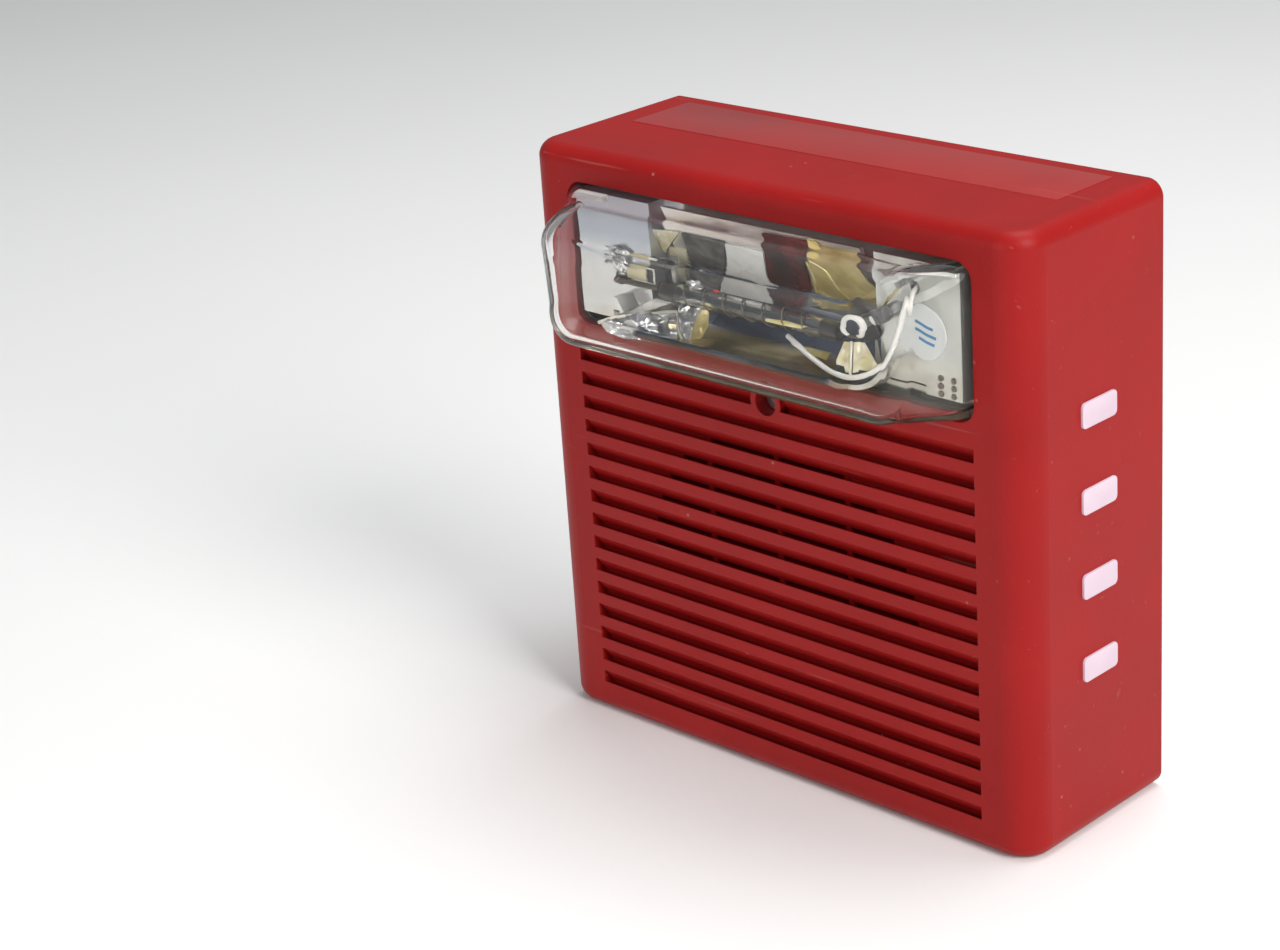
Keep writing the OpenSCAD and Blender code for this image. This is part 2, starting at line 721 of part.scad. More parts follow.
module cover_screw_ring() {
    color("#1c1c1e") translate([0, screw_floor_y - ring_wire_r, screw_z]) rotate([90, 0, 0]) rotate_extrude() translate([screw_d / 2 + 0.1 + ring_wire_r, 0]) circle(ring_wire_r);
}

module wall_plate() {
    color("#3a3a3d") difference() {
        union() {
            slab(plate_w, plate_w, 2, plate_y, 0);
            rod_y(plate_boss_r, insert_y, 0, 0, screw_z);
            for (sz = [-1, 1]) translate([-8, plate_y - 1.4, sz * (plate_w / 2 - 1.5) - 1.5]) cube([16, 2, 3]);
        }
        rod_y(entry_d / 2, plate_y - 1, 1, 0, -8);
        rod_y(insert_r, insert_y - 1, 1, 0, screw_z);
        for (sz = [-1, 1]) rod_y(box_hole_d / 2, plate_y - 1, 1, 0, sz * box_screw_gap / 2);
        for (sx = [-1, 1], sz = [-1, 1]) rod_y(box_hole_d / 2, plate_y - 1, 1, sx * square_gap / 2, sz * square_gap / 2);
    }
}

module plate_seal() {
    seal_w = 2 * corner_boss - 6;
    color("#4a4a4c") difference() {
        slab(seal_w, seal_w, 2, cover_y + cover_t + 0.3, plate_y);
        slab(seal_w - 2 * seal_ring, seal_w - 2 * seal_ring, 1, cover_y, 0);
    }
}

module screw_insert() {
    color("#c9a24a") difference() {
        rod_y(insert_r, insert_y, 0, 0, screw_z);
        rod_y(insert_hole_r, insert_y - 1, 1, 0, screw_z);
    }
}

front_housing();
lens_cover();
lens_seal();
reflector();
flash_tube();
tube_leads();
tube_sleeves();
trigger_winding();
trigger_lead();
tube_lug();
rating_label();
strobe_board();
flash_capacitor();
trigger_coil();
inverter_choke();
switching_transistor();
reflector_screws();
strobe_board_screws();
sounder_seal();
sounder_horn();
diaphragm();
piezo_disc();
sounder_back();
sounder_screws();
sounder_pins();
main_board();
main_board_screws();
controller_chip();
board_capacitors();
small_parts();
board_ribbon();
terminal_block();
terminal_screw_1();
terminal_screw_2();
terminal_screw_3();
terminal_screw_4();
switch_body();
switch_lever_1();
switch_lever_2();
switch_lever_3();
switch_lever_4();
back_cover();
back_cover_screws();
cover_screw();
cover_screw_ring();
wall_plate();
plate_seal();
screw_insert();
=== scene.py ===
import bpy
import bmesh
import math
from mathutils import Matrix, Vector, noise as lumps


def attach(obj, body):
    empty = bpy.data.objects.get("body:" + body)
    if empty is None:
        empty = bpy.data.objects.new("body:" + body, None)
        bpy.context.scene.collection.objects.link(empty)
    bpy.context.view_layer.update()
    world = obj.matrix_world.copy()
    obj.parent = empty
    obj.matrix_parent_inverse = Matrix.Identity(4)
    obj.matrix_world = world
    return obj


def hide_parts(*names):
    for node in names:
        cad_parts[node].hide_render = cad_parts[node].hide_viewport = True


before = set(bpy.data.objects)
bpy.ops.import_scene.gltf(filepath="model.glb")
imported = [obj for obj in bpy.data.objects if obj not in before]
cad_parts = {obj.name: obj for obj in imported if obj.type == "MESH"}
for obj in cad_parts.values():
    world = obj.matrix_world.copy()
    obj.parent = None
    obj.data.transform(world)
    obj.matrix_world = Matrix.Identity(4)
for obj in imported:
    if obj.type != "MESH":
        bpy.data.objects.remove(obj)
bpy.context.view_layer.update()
MM = 0.001


# ---- front housing ----
# The red moulded box: five closed sides, a louvred field below and the window opening above.
# Satin fire-red ABS with a fine moulded texture, held to the wall plate by one screw.

def uv_free_coords(tree):
    return tree.nodes.new("ShaderNodeTexCoord").outputs["Object"]


def group(name, inputs, outputs):
    g = bpy.data.node_groups.new(name, "ShaderNodeTree")
    for label, kind, value in inputs:
        s = g.interface.new_socket(name=label, in_out="INPUT", socket_type=kind)
        if value is not None:
            s.default_value = value
    for label, kind in outputs:
        g.interface.new_socket(name=label, in_out="OUTPUT", socket_type=kind)
    return g, g.nodes.new("NodeGroupInput"), g.nodes.new("NodeGroupOutput")


def noise(tree, coords, scale, detail=4.0, rough=0.55):
    n = tree.nodes.new("ShaderNodeTexNoise")
    n.inputs["Scale"].default_value = scale
    n.inputs["Detail"].default_value = detail
    n.inputs["Roughness"].default_value = rough
    tree.links.new(coords, n.inputs["Vector"])
    return n.outputs["Fac"]


def span(tree, value, low, high, to_low, to_high):
    m = tree.nodes.new("ShaderNodeMapRange")
    m.clamp = True
    for socket, number in zip(("From Min", "From Max", "To Min", "To Max"), (low, high, to_low, to_high)):
        m.inputs[socket].default_value = number
    tree.links.new(value, m.inputs["Value"])
    return m.outputs["Result"]


def maths(tree, kind, a, b):
    m = tree.nodes.new("ShaderNodeMath")
    m.operation = kind
    for socket, v in zip(m.inputs, (a, b)):
        if isinstance(v, (int, float)):
            socket.default_value = v
        else:
            tree.links.new(v, socket)
    return m.outputs[0]


def mix(tree, factor, a, b, kind="MIX"):
    m = tree.nodes.new("ShaderNodeMix")
    m.data_type = "RGBA"
    m.blend_type = kind
    for socket, v in ((m.inputs[0], factor), (m.inputs[6], a), (m.inputs[7], b)):
        if isinstance(v, (int, float)):
            socket.default_value = v
        elif isinstance(v, tuple):
            socket.default_value = (*v, 1.0)
        else:
            tree.links.new(v, socket)
    return m.outputs[2]


# wear: slow blotches, fine grain, scattered specks and scuff lines, all in object space
wear, w_in, w_out = group("wear", [("Scale", "NodeSocketFloat", 1.0)],
                          [("Blotch", "NodeSocketFloat"), ("Grain", "NodeSocketFloat"),
                           ("Specks", "NodeSocketFloat"), ("Scuffs", "NodeSocketFloat")])
w_scaled = wear.nodes.new("ShaderNodeVectorMath")
w_scaled.operation = "SCALE"
wear.links.new(uv_free_coords(wear), w_scaled.inputs[0])
wear.links.new(w_in.outputs["Scale"], w_scaled.inputs["Scale"])
w_co = w_scaled.outputs[0]
wear.links.new(noise(wear, w_co, 28, 5), w_out.inputs["Blotch"])
wear.links.new(noise(wear, w_co, 2600, 2), w_out.inputs["Grain"])
w_cells = wear.nodes.new("ShaderNodeTexVoronoi")
w_cells.inputs["Scale"].default_value = 210
wear.links.new(w_co, w_cells.inputs["Vector"])
w_dots = span(wear, w_cells.outputs["Distance"], 0.05, 0.11, 1, 0)
wear.links.new(maths(wear, "MULTIPLY", w_dots, span(wear, noise(wear, w_co, 60, 3), 0.60, 0.66, 0, 1)),
    w_out.inputs["Specks"])
w_stretch = wear.nodes.new("ShaderNodeMapping")
w_stretch.inputs["Rotation"].default_value = (0.5, 0.35, 0.7)
w_stretch.inputs["Scale"].default_value = (18, 420, 420)
wear.links.new(w_co, w_stretch.inputs["Vector"])
wear.links.new(span(wear, noise(wear, w_stretch.outputs["Vector"], 1.0, 3), 0.68, 0.76, 0, 1),
    w_out.inputs["Scuffs"])


def wear_node(tree, scale=1.0):
    n = tree.nodes.new("ShaderNodeGroup")
    n.node_tree = wear
    n.inputs["Scale"].default_value = scale
    return n.outputs


def material(name, metallic=0.0, transmission=0.0, ior=1.5):
    m = bpy.data.materials.new(name)
    m.use_nodes = True
    b = m.node_tree.nodes["Principled BSDF"]
    b.inputs["Metallic"].default_value = metallic
    b.inputs["Transmission Weight"].default_value = transmission
    b.inputs["IOR"].default_value = ior
    return m, m.node_tree, b


def bump(tree, bsdf, height, strength, distance, under=None):
    n = tree.nodes.new("ShaderNodeBump")
    n.inputs["Strength"].default_value = strength
    n.inputs["Distance"].default_value = distance
    tree.links.new(height, n.inputs["Height"])
    if under is not None:
        tree.links.new(under, n.inputs["Normal"])
    tree.links.new(n.outputs["Normal"], bsdf.inputs["Normal"])
    return n.outputs["Normal"]


def edge_round(tree, radius):
    n = tree.nodes.new("ShaderNodeBevel")
    n.samples = 6
    n.inputs["Radius"].default_value = radius
    return n.outputs["Normal"]


def plastic(name, base, dark, light, rough, grain=0.05, specks=(0.75, 0.70, 0.66), speck_amount=0.35,
        round_edge=None, scale=1.0, coat=0.0):
    """A moulded plastic: base colour blotched between dark and light, fine grain, specks and scuffs."""
    m, t, b = material(name)
    w = wear_node(t, scale)
    colour = mix(t, span(t, w["Blotch"], 0.35, 0.68, 0, 1), dark, light)
    colour = mix(t, 0.55, colour, base)
    colour = mix(t, maths(t, "MULTIPLY", w["Specks"], speck_amount), colour, specks)
    colour = mix(t, maths(t, "MULTIPLY", w["Scuffs"], speck_amount * 0.35), colour, specks)
    t.links.new(colour, b.inputs["Base Color"])
    r = maths(t, "ADD", span(t, w["Blotch"], 0.3, 0.7, rough - 0.04, rough + 0.06),
        maths(t, "MULTIPLY", w["Scuffs"], 0.12))
    t.links.new(r, b.inputs["Roughness"])
    under = edge_round(t, round_edge) if round_edge else None
    bump(t, b, w["Grain"], grain, 0.0002, under)
    b.inputs["Coat Weight"].default_value = coat
    return m


red = plastic("fire_red_abs", (0.30, 0.0085, 0.0080), (0.255, 0.0065, 0.0062), (0.345, 0.0115, 0.0108), 0.42,
    grain=0.22, round_edge=0.00045, specks=(0.55, 0.38, 0.34))
red.node_tree.nodes["Principled BSDF"].inputs["Specular IOR Level"].default_value = 0.16
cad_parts["front_housing"].data.materials.clear()
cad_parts["front_housing"].data.materials.append(red)


def paint(names, made):
    for n in names:
        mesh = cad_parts[n].data
        mesh.materials.clear()
        mesh.materials.append(made)


# ---- raised marks on the right side ----
# Four plain blank bars standing 0.6 mm out of the side in a column, hot-stamped off-white.

def new_piece(name, bm, body, made, smooth=None):
    bmesh.ops.recalc_face_normals(bm, faces=bm.faces)
    mesh = bpy.data.meshes.new(name)
    bm.to_mesh(mesh)
    bm.free()
    mesh.materials.append(made)
    obj = bpy.data.objects.new(name, mesh)
    bpy.context.scene.collection.objects.link(obj)
    if smooth is not None:
        mesh.polygons.foreach_set("use_smooth", [True] * len(mesh.polygons))
        mesh.set_sharp_from_angle(angle=math.radians(smooth))
    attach(obj, body)
    return obj


def bar(bm, low, high):
    made = bmesh.ops.create_cube(bm, size=1.0)
    centre = (Vector(low) + Vector(high)) / 2 * MM
    size = (Vector(high) - Vector(low)) * MM
    bmesh.ops.scale(bm, vec=size, verts=made["verts"])
    bmesh.ops.translate(bm, vec=centre, verts=made["verts"])
    return made["verts"]


mark_white = plastic("mark_off_white", (0.66, 0.52, 0.60), (0.58, 0.44, 0.52), (0.74, 0.62, 0.70), 0.45,
    grain=0.08, specks=(0.55, 0.16, 0.13), speck_amount=0.55, scale=1.6)
mark_wide, mark_high, mark_step, mark_round = 12.7, 6.0, 20.4, 1.2
mark_left, mark_first, mark_out, side_x = -31.0, 28.7, 0.6, 74.5
for i in range(4):
    middle = mark_first - i * mark_step
    bm = bmesh.new()
    verts = bar(bm, (side_x - 0.15, mark_left, middle - mark_high / 2),
        (side_x + mark_out, mark_left + mark_wide, middle + mark_high / 2))
    corners = [e for e in bm.edges if abs(e.verts[0].co.x - e.verts[1].co.x) > 0.0005]
    bmesh.ops.bevel(bm, geom=corners, offset=mark_round * MM, segments=5, profile=0.5, affect="EDGES", material=-1)
    rim = [e for e in bm.edges if all(v.co.x > (side_x + mark_out - 0.05) * MM for v in e.verts)]
    bmesh.ops.bevel(bm, geom=rim, offset=0.15 * MM, segments=2, profile=0.5, affect="EDGES", material=-1)
    new_piece("side_mark_%d" % (i + 1), bm, "housing", mark_white, smooth=35)


# ---- blank label on the top ----
# A thin clear-coated red film, blank, stuck flat on the top face. It only shows as a change of gloss.

def soft_block(bm, low, high, radius):
    """A box with every edge rounded."""
    verts = bar(bm, low, high)
    edges = list({e for v in verts for e in v.link_edges})
    bmesh.ops.bevel(bm, geom=edges, offset=radius * MM, segments=3, profile=0.5, affect="EDGES", material=-1)


label_red = plastic("label_red_film", (0.33, 0.020, 0.018), (0.29, 0.017, 0.016), (0.37, 0.026, 0.024), 0.30,
    grain=0.05, specks=(0.55, 0.38, 0.34))
bm = bmesh.new()
soft_block(bm, (-64.0, -24.5, 74.35), (64.0, -4.0, 74.62), 0.05)
new_piece("top_blank_label", bm, "housing", label_red, smooth=30)


# ---- lens cover ----
# One clear polycarbonate moulding, 2 mm thick, clamped by the housing on a seal.
# Its box-shaped dome has a straight lower front edge and a rounded bulge at each upper end.

lens_mat, t, b = material("clear_polycarbonate", transmission=0.99, ior=1.22)
w = wear_node(t, 1.3)
b.inputs["Specular IOR Level"].default_value = 0.7
where = t.nodes.new("ShaderNodeSeparateXYZ")
t.links.new(uv_free_coords(t), where.inputs[0])
thick_edge = span(t, maths(t, "ADD", where.outputs["Z"], maths(t, "MULTIPLY", w["Blotch"], 0.003)), 0.0335, 0.037,
    1, 0)
t.links.new(mix(t, thick_edge, (0.985, 0.98, 0.97), (0.94, 0.86, 0.74)), b.inputs["Base Color"])
t.links.new(maths(t, "ADD", span(t, w["Blotch"], 0.5, 0.75, 0.0, 0.02), maths(t, "MULTIPLY", w["Scuffs"], 0.06)),
    b.inputs["Roughness"])
bump(t, b, noise(t, uv_free_coords(t), 70, 2), 0.04, 0.0003)


def rounded_ring(w, h, r, y, z, corner=12):
    """Points of a rounded rectangle in the XZ plane, anticlockwise from the lower right corner."""
    pts = []
    for cx, cz, start in ((w / 2 - r, -h / 2 + r, -90), (w / 2 - r, h / 2 - r, 0), (-w / 2 + r, h / 2 - r, 90),
        (-w / 2 + r, -h / 2 + r, 180)):
        for k in range(corner + 1):
            a = math.radians(start + 90 * k / corner)
            pts.append(Vector((cx + r * math.cos(a), y, z + cz + r * math.sin(a))))
    return pts


def loft(bm, rings, cap_first=True, cap_last=True):
    made = [[bm.verts.new(p * MM) for p in ring] for ring in rings]
    n = len(made[0])
    for a, b in zip(made, made[1:]):
        for i in range(n):
            bm.faces.new((a[i], a[(i + 1) % n], b[(i + 1) % n], b[i]))
    if cap_first:
        bm.faces.new(made[0][::-1])
    if cap_last:
        bm.faces.new(made[-1])
    return made


def ease(low, high, value):
    t = min(1.0, max(0.0, (value - low) / (high - low)))
    return t * t * (3 - 2 * t)


def lens_depth(x, lean):
    """How far the front face stands out: full at its lower edge, less above, bulged at each upper end."""
    ear = ease(24, 52, abs(x))
    return 19.0 - 3.0 * ease(0.05, 0.55, lean) + (0.3 + 3.2 * ear) * ease(0.4, 0.8, lean) - 2.2 * ear * ease(0.8,
        1.0, lean)


def lens_rings(inset, y_back):
    """Rings of the dome from its base, round its front edge and in across its front face."""
    half_w, z_low, z_top = 60.45 - inset, 30.5 + inset, 66.4 - inset
    roll = 5.6 - inset
    rings = []
    steps = [(0, 0, 0), (0.04, 0, 0), (0.2, 0, 0), (0.4, 0, 0), (0.6, 0, 0),
        (0.8, 0, 0)] + [(1, a, 0) for a in range(0, 91, 9)]
    for s, angle, shrink in steps + [(1, 90, k) for k in (0.06, 0.14, 0.24, 0.36, 0.5, 0.64, 0.78, 0.9, 0.96)]:
        turn = math.radians(angle)
        inward = roll * (1 - math.cos(turn))
        w = half_w - 5.6 * s - inward
        low, top = z_low + 1.2 * s + inward * 0.85, z_top - 0.5 * s - inward * 1.15
        corner_r = max(1.0, 4.2 - inset + 4.6 * s - 0.3 * inward)
        ring = []
        for p in rounded_ring(2 * w, top - low, corner_r, 0, (top + low) / 2):
            x, z = p.x * (1 - shrink), (p.z - 49.0) * (1 - shrink) + 49.0
            seen = (z - z_low) / (z_top - z_low)
            roll_y = roll + 3.4 * ease(0.3, 1.0, (p.z - z_low) / (z_top - z_low))
            full = lens_depth(x, seen) - inset
            out = s * (full - roll_y) + (roll_y * math.sin(turn) if s == 1 else 0)
            ring.append(Vector((x, y_back if s == 0 else -51.0 - out, z)))
        rings.append(ring)
    return rings


bm = bmesh.new()
outer_rings = lens_rings(0.0, -45.7)
flange = [rounded_ring(127.2, 40.4, 5.5, y, 48.4) for y in (-45.7, -47.7)]
inner_rings = lens_rings(2.0, -45.7)
start = rounded_ring(120.9, 35.9, 4.2, -47.7, 48.45)
loft(bm, [r for r in inner_rings[::-1]] + flange + [start] + outer_rings[1:], True, True)
lens = new_piece("clear_window", bm, "housing", lens_mat, smooth=38)
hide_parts("lens_cover")


# ---- lens seal ----
# A thin black rubber gasket between the lens flange and the back of the front face.
rubber = plastic("black_rubber", (0.022, 0.022, 0.024), (0.016, 0.016, 0.017), (0.034, 0.034, 0.036), 0.62,
    grain=0.12, specks=(0.3, 0.3, 0.3), speck_amount=0.2)
paint(["lens_seal", "sounder_seal", "cover_screw_ring", "tube_sleeves"], rubber)


# ---- reflector ----
# One thin moulding with a bright vacuum-metallised face, held by three screws behind the lens:
# a slanted roof, a half-round trough below the tube and a flat wing at each end.
mirror_mat, t, b = material("metallised_plastic", metallic=0.7)
w = wear_node(t, 2.0)
where = t.nodes.new("ShaderNodeSeparateXYZ")
t.links.new(uv_free_coords(t), where.inputs[0])
silver = mix(t, span(t, w["Blotch"], 0.35, 0.7, 0, 1), (0.70, 0.69, 0.66), (0.92, 0.92, 0.90))
# The metal's own tint is the silver; the khaki and navy bands in the trough are painted reflections.
trough_khaki_reflection = mix(t, span(t, w["Blotch"], 0.4, 0.6, 0, 1), (0.34, 0.28, 0.15), (0.58, 0.50, 0.31))
trough_navy_reflection = mix(t, span(t, w["Blotch"], 0.4, 0.6, 0, 1), (0.030, 0.042, 0.075), (0.10, 0.13, 0.20))
trough_painted_reflection = mix(t, span(t, where.outputs["Z"], 0.0360, 0.0376, 0, 1), trough_khaki_reflection, trough_navy_reflection)
in_trough = maths(t, "MULTIPLY", span(t, maths(t, "ABSOLUTE", where.outputs["X"], 0), 0.029, 0.031, 1, 0),
    span(t, where.outputs["Z"], 0.044, 0.048, 1, 0))
# The blue-grey on the left wing, stronger towards its top, and the grey-green on the right wing are painted
# reflections.
left_wing_painted_reflection = maths(t, "MULTIPLY", span(t, where.outputs["X"], -0.034, -0.033, 1, 0),
    span(t, where.outputs["Z"], 0.046, 0.056, 0, 0.75))
colour = mix(t, left_wing_painted_reflection, silver, (0.42, 0.47, 0.56))
right_wing_painted_reflection = span(t, where.outputs["X"], 0.033, 0.036, 0, 1)
colour = mix(t, right_wing_painted_reflection, colour, mix(t, span(t, w["Blotch"], 0.4, 0.6, 0, 1), (0.44, 0.45, 0.41), (0.66, 0.67,
    0.63)))
t.links.new(mix(t, in_trough, colour, trough_painted_reflection), b.inputs["Base Color"])
t.links.new(span(t, w["Blotch"], 0.3, 0.7, 0.12, 0.26), b.inputs["Roughness"])
bump(t, b, noise(t, uv_free_coords(t), 160, 4), 0.12, 0.0008)
paint(["reflector"], mirror_mat)


# ---- trigger lead ----
# Stranded wire in soft white insulation. It leaves the tube's winding, loops round in front
# of the right wing and goes back through a hole near the wing's top.

def smooth_route(points, steps):
    pts = [Vector(p) for p in points]
    out = []
    for i in range(len(pts) - 1):
        a, b, c, d = pts[max(i - 1, 0)], pts[i], pts[i + 1], pts[min(i + 2, len(pts) - 1)]
        for k in range(steps):
            t = k / steps
            out.append(0.5 * ((2 * b) + (c - a) * t + (2 * a - 5 * b + 4 * c - d) * t * t
                              + (3 * b - a - 3 * c + d) * t ** 3))
    out.append(pts[-1])
    return out


def tube_along(bm, path, radius, sides=16):
    """A closed round tube along a path, its rings kept from twisting. radius may be a number or one per point."""
    up = Vector((0, 1, 0.02))
    rings = []
    for i, p in enumerate(path):
        way = (path[min(i + 1, len(path) - 1)] - path[max(i - 1, 0)]).normalized()
        across = way.cross(up)
        if across.length < 0.1:
            across = way.cross(Vector((1, 0, 0)))
        across.normalize()
        up = across.cross(way)
        r = radius[i] if isinstance(radius, list) else radius
        rings.append([bm.verts.new((p + r * (math.cos(2 * math.pi * k / sides) * across
                                             + math.sin(2 * math.pi * k / sides) * up)) * MM)
                      for k in range(sides)])
    for a, b in zip(rings, rings[1:]):
        for k in range(sides):
            bm.faces.new((a[k], a[(k + 1) % sides], b[(k + 1) % sides], b[k]))
    bm.faces.new(rings[0][::-1])
    bm.faces.new(rings[-1])


wire_white = plastic("white_insulation", (0.82, 0.81, 0.77), (0.74, 0.72, 0.66), (0.88, 0.87, 0.84), 0.38,
    scale=2.0, speck_amount=0.2, specks=(0.4, 0.36, 0.3))
lead_route = [(12, -54.8, 42.6), (16, -56, 41.5), (22, -57.5, 39.6), (28, -58.6, 38.2),
              (34, -58.8, 38.2), (39.5, -58, 40.6), (43, -56.8, 45), (44.6, -55.4, 50),
              (45, -53.8, 54), (44.8, -52, 57), (44.6, -49.4, 58.4)]
bm = bmesh.new()
tube_along(bm, smooth_route(lead_route, 10), 0.62)
lead = new_piece("white_trigger_lead", bm, "housing", wire_white, smooth=60)
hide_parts("trigger_lead")


# ---- trigger winding ----
# One fine dark enamelled wire wound round the glass in open turns.
def metal(name, low, high, rough, bump_strength=0.05, scale=1.0):
    """Solid metal whose tint and polish wander between two values, with brushed scuffs."""
    m, t, b = material(name, metallic=1.0)
    w = wear_node(t, scale)
    t.links.new(mix(t, span(t, w["Blotch"], 0.3, 0.7, 0, 1), low, high), b.inputs["Base Color"])
    t.links.new(maths(t, "ADD", span(t, w["Blotch"], 0.3, 0.7, rough - 0.06, rough + 0.08),
        maths(t, "MULTIPLY", w["Scuffs"], 0.15)), b.inputs["Roughness"])
    bump(t, b, w["Grain"], bump_strength, 0.0002)
    return m


dark_metal = metal("oxidised_wire", (0.10, 0.085, 0.07), (0.20, 0.17, 0.14), 0.45)
bm = bmesh.new()
turns, per_turn = 7, 28
wind = []
for k in range(turns * per_turn + 1):
    a = 2 * math.pi * k / per_turn
    wind.append(Vector((-21 + 42 * k / (turns * per_turn), -54 + 2.42 * math.cos(a), 46.3 + 2.42 * math.sin(a))))
tube_along(bm, wind, 0.2, sides=8)
winding = new_piece("fine_trigger_wire", bm, "housing", dark_metal, smooth=60)
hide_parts("trigger_winding")


# ---- flash tube and its leads ----
# A straight xenon tube of thin hard glass, a little cloudy with use, with tinned iron leads.
glass_mat, t, b = material("tube_glass", transmission=1.0, ior=1.47)
b.inputs["Base Color"].default_value = (0.95, 0.96, 0.94, 1)
t.links.new(span(t, wear_node(t)["Blotch"], 0.3, 0.7, 0.02, 0.09), b.inputs["Roughness"])
bump(t, b, noise(t, uv_free_coords(t), 300, 3), 0.05, 0.0004)
paint(["flash_tube"], glass_mat)
paint(["tube_leads"], dark_metal)


# ---- painted reflections on the reflector roof ----
# Thin tinted sheets lining the inside of the reflector behind and above the tube, each a flat, slightly crumpled
# panel on the slanted roof.
# Their tints are painted reflections of the surroundings in the metallised roof; the bright silver sheet is a
# painted highlight.

def foil_metal(name, low, high, rough, crumple=0.25, size=230, shine=0.5):
    """Bright metallised film: a tint that wanders between two colours, with soft creases. On the reflector's
    tinted sheets these colours are painted reflections.
    """
    m, t, b = material(name, metallic=shine)
    w = wear_node(t, 2.5)
    co = uv_free_coords(t)
    t.links.new(mix(t, span(t, noise(t, co, size, 4), 0.36, 0.64, 0, 1), low, high), b.inputs["Base Color"])
    t.links.new(span(t, w["Blotch"], 0.3, 0.7, rough * 0.6, rough * 1.5), b.inputs["Roughness"])
    bump(t, b, noise(t, co, size * 1.3, 3), crumple, 0.0012)
    return m


def foil(bm, corners, cuts=3, crumple=0.0, thick=0.6, seed=0.0, lift=0.3, grain=0.55):
    """A crumpled sheet bounded by the corner points: flat face, subdivided, pushed about and thickened."""
    pts = [Vector(c) for c in corners]
    centre = sum(pts, Vector()) / len(pts)
    normal = Vector()
    for a, b in zip(pts, pts[1:] + pts[:1]):
        normal += (a - centre).cross(b - centre)
    normal.normalize()
    if normal.y > 0:
        normal = -normal
    n = len(pts)
    pts = [p + normal * lift for p in pts]
    centre = centre + normal * lift
    dense = []
    for i, p in enumerate(pts):
        q = pts[(i + 1) % n]
        for k in range(cuts):
            dense.append(p.lerp(q, k / cuts))
    levels = [1.0, 0.8, 0.6, 0.4, 0.2]
    front, back = [], []
    for level in levels:
        ring_f, ring_b = [], []
        for d in dense:
            p = centre.lerp(d, level)
            push = crumple * lumps.noise(p * grain + Vector((seed, seed * 2, 0))) * (1.0 if level < 1 else 0.4)
            p = p + normal * push
            ring_f.append(bm.verts.new(p * MM))
            ring_b.append(bm.verts.new((p - normal * thick) * MM))
        front.append(ring_f)
        back.append(ring_b)
    m = len(dense)
    mid_f = bm.verts.new((centre + normal * crumple * lumps.noise(centre * 0.55)) * MM)
    mid_b = bm.verts.new((centre - normal * thick) * MM)
    for a, b in zip(front, front[1:]):
        for i in range(m):
            bm.faces.new((a[i], a[(i + 1) % m], b[(i + 1) % m], b[i]))
    for a, b in zip(back, back[1:]):
        for i in range(m):
            bm.faces.new((a[(i + 1) % m], a[i], b[i], b[(i + 1) % m]))
    for i in range(m):
        bm.faces.new((front[-1][i], front[-1][(i + 1) % m], mid_f))
        bm.faces.new((back[-1][(i + 1) % m], back[-1][i], mid_b))
        bm.faces.new((front[0][(i + 1) % m], front[0][i], back[0][i], back[0][(i + 1) % m]))


# Colours of painted reflections for the reflector's tinted sheets; the silver one is a painted highlight.
cream_painted_reflection = foil_metal("cream_painted_reflection", (0.72, 0.63, 0.34), (0.92, 0.88, 0.72), 0.22, shine=0.2)
silver_painted_highlight = foil_metal("silver_painted_highlight", (0.90, 0.89, 0.86), (1.0, 1.0, 0.98), 0.12, crumple=0.5, size=150,
    shine=0.1)
dark_painted_reflection = foil_metal("dark_painted_reflection", (0.10, 0.095, 0.09), (0.34, 0.32, 0.29), 0.20)
maroon_painted_reflection = foil_metal("maroon_painted_reflection", (0.035, 0.022, 0.022), (0.24, 0.03, 0.026), 0.22, size=70)
gold_painted_reflection = foil_metal("gold_painted_reflection", (0.52, 0.41, 0.14), (0.80, 0.66, 0.32), 0.22, size=120, shine=0.3)
bright_gold_painted_reflection = foil_metal("bright_gold_painted_reflection", (0.86, 0.70, 0.22), (1.0, 0.92, 0.55), 0.15)
